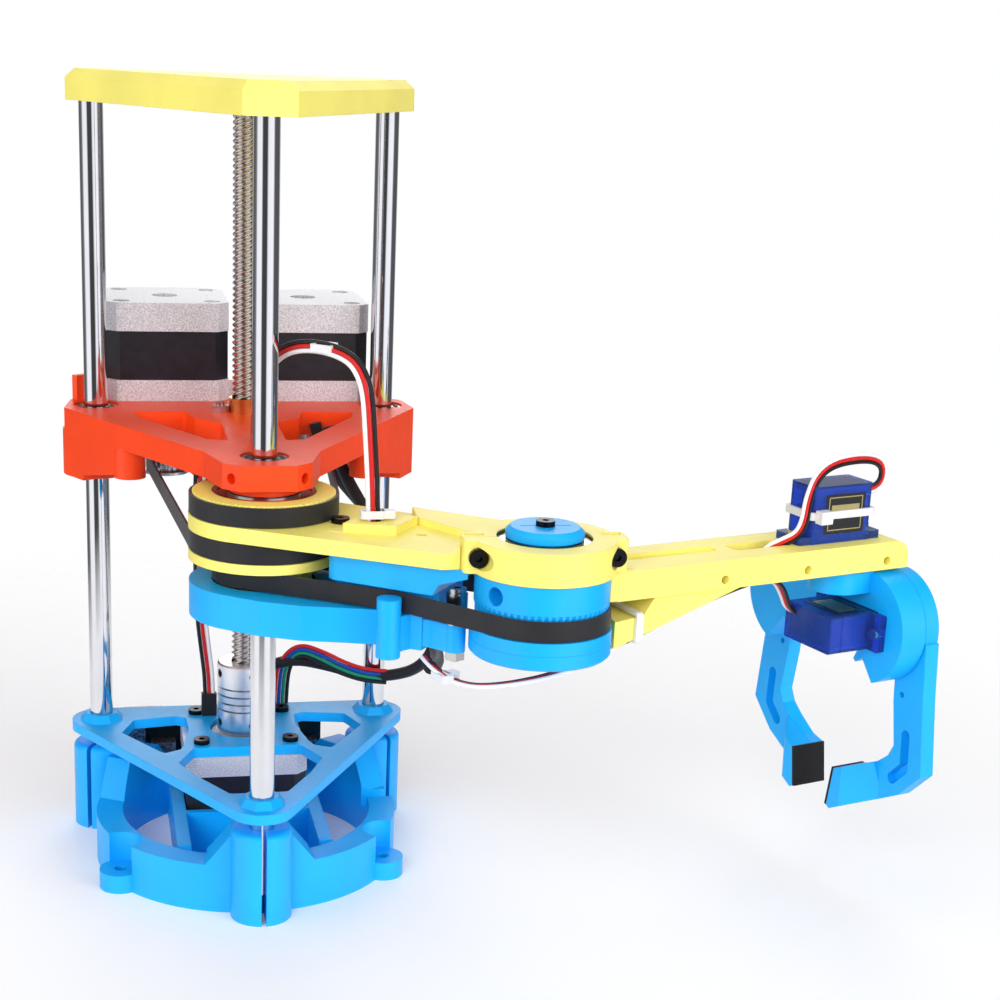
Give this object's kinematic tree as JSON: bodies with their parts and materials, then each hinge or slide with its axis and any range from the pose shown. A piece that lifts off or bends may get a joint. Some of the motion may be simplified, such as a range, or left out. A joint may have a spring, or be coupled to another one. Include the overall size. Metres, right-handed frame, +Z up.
{
  "type": "scara robot arm",
  "caption": "Desktop SCARA arm: screw-driven carriage on rods, belt-driven shoulder and elbow, turning wrist and jaw gripper.",
  "frame": {"origin": "on the underside of the base, midway between the three rods", "axes": "+Z up along the rods, +X to the right and +Y away from the front rod, which carries the shoulder"},
  "size_m": [0.2725, 0.2103, 0.264],
  "materials": {
    "blue_plastic": "satin printed",
    "yellow_plastic": "satin printed",
    "orange_plastic": "satin printed",
    "rod_chrome": "ground and chromed",
    "bearing_steel": "polished",
    "tube_steel": "turned",
    "screw_steel": "rolled thread",
    "wheel_aluminium": "turned",
    "coupler_aluminium": "turned, anodised clear",
    "bell_aluminium": "cast, sand blasted",
    "stator_black": "laminated, black",
    "nut_brass": "turned",
    "black_screws": "black oxide",
    "steel_screws": "zinc plated",
    "belt_rubber": "fine ribbed",
    "pad_rubber": "foam",
    "tie_nylon": "translucent white",
    "servo_white": "white",
    "servo_case": "translucent blue",
    "servo_core": "dark",
    "board": "solder mask",
    "board_parts": "tinned"
  },
  "bodies": {
    "base": {"base_frame": "blue_plastic", "base_plate": "blue_plastic", "plate_screws": "black_screws", "guide_rods": "rod_chrome", "top_cap": "yellow_plastic", "screw_top_bearing": "bearing_steel", "lift_motor_bells": "bell_aluminium", "lift_motor_stator": "stator_black", "control_board": "board", "board_parts": "board_parts"},
    "screw": {"lift_motor_shaft": "screw_steel", "coupler": "coupler_aluminium", "coupler_set_screws": "black_screws", "lead_screw": "screw_steel"},
    "carriage": {"carriage": "orange_plastic", "shoulder_tube": "tube_steel", "shoulder_spacers": "tube_steel", "linear_bearings": "bearing_steel", "lead_nut": "nut_brass", "carriage_screws": "steel_screws", "arm_motor_bells": "bell_aluminium", "arm_motor_stator": "stator_black", "belt_one": "belt_rubber", "belt_two": "belt_rubber", "belt_guide": "steel_screws"},
    "right_rotor": {"right_motor_rotor": "wheel_aluminium"},
    "left_rotor": {"left_motor_rotor": "wheel_aluminium"},
    "link": {"upper_arm": "yellow_plastic", "elbow_clamp": "yellow_plastic", "link_screws": "black_screws", "lower_arm": "blue_plastic", "link_bearings": "bearing_steel", "idler_screw": "steel_screws", "belt_three": "belt_rubber"},
    "double": {"double_wheel": "yellow_plastic", "double_wheel_bearing": "bearing_steel"},
    "forearm": {"forearm": "yellow_plastic", "elbow_wheel": "blue_plastic", "elbow_foot": "blue_plastic", "elbow_cap": "blue_plastic", "elbow_cap_screw": "black_screws", "forearm_ties": "tie_nylon", "wrist_servo_case": "servo_case", "wrist_servo_core": "servo_core", "wrist_servo_screws": "steel_screws"},
    "gripper": {"gripper_palm": "blue_plastic", "wrist_shaft": "servo_white", "grip_servo_case": "servo_case", "grip_servo_core": "servo_core", "grip_servo_screws": "steel_screws", "jaw_pin": "steel_screws"},
    "right_jaw": {"right_jaw": "blue_plastic", "right_pad": "pad_rubber", "grip_shaft": "servo_white"},
    "left_jaw": {"left_jaw": "blue_plastic", "left_pad": "pad_rubber"}
  },
  "joints": [
    {"name": "lift", "type": "slide", "parent": "base", "child": "carriage", "axis": [0, 0, 1], "range_m": [-0.03, 0.06]},
    {"name": "screw_turn", "type": "hinge", "parent": "base", "child": "screw", "pos_m": [0, 0.015, 0.1], "axis": [0, 0, 1], "range_deg": [-2710, 1360]},
    {"name": "shoulder", "type": "hinge", "parent": "carriage", "child": "link", "pos_m": [0, -0.05687, 0.125], "axis": [0, 0, 1], "range_deg": [-70, 30]},
    {"name": "elbow", "type": "hinge", "parent": "link", "child": "forearm", "pos_m": [0.07552, -0.11114, 0.125], "axis": [0, 0, 1], "range_deg": [-120, 20]},
    {"name": "double_turn", "type": "hinge", "parent": "link", "child": "double", "pos_m": [0, -0.05687, 0.122], "axis": [0, 0, 1], "range_deg": [-157, 28]},
    {"name": "right_motor_turn", "type": "hinge", "parent": "carriage", "child": "right_rotor", "pos_m": [0.0245, 0.0555, 0.15], "axis": [0, 0, 1], "range_deg": [-248, 108]},
    {"name": "left_motor_turn", "type": "hinge", "parent": "carriage", "child": "left_rotor", "pos_m": [-0.0245, 0.0555, 0.15], "axis": [0, 0, 1], "range_deg": [-546, 94]},
    {"name": "wrist", "type": "hinge", "parent": "forearm", "child": "gripper", "pos_m": [0.18167, -0.07628, 0.118], "axis": [0, 0, 1], "range_deg": [-80, 80]},
    {"name": "right_jaw_turn", "type": "hinge", "parent": "gripper", "child": "right_jaw", "pos_m": [0.20007, -0.07798, 0.102], "axis": [0.9563, 0.2924, 0], "range_deg": [-22, 6.8]},
    {"name": "left_jaw_turn", "type": "hinge", "parent": "gripper", "child": "left_jaw", "pos_m": [0.18797, -0.03838, 0.102], "axis": [0.9563, 0.2924, 0], "range_deg": [-6.9, 22.1]}
  ],
  "couplings": [
    {"joint": "screw_turn", "follows": "lift", "rad_per_m": -785.4},
    {"joint": "double_turn", "follows": "elbow", "ratio": 1.2917},
    {"joint": "right_motor_turn", "follows": "shoulder", "ratio": 3.5},
    {"joint": "left_motor_turn", "follows": "elbow", "ratio": 4.5208},
    {"joint": "left_jaw_turn", "follows": "right_jaw_turn", "ratio": -1}
  ]
}
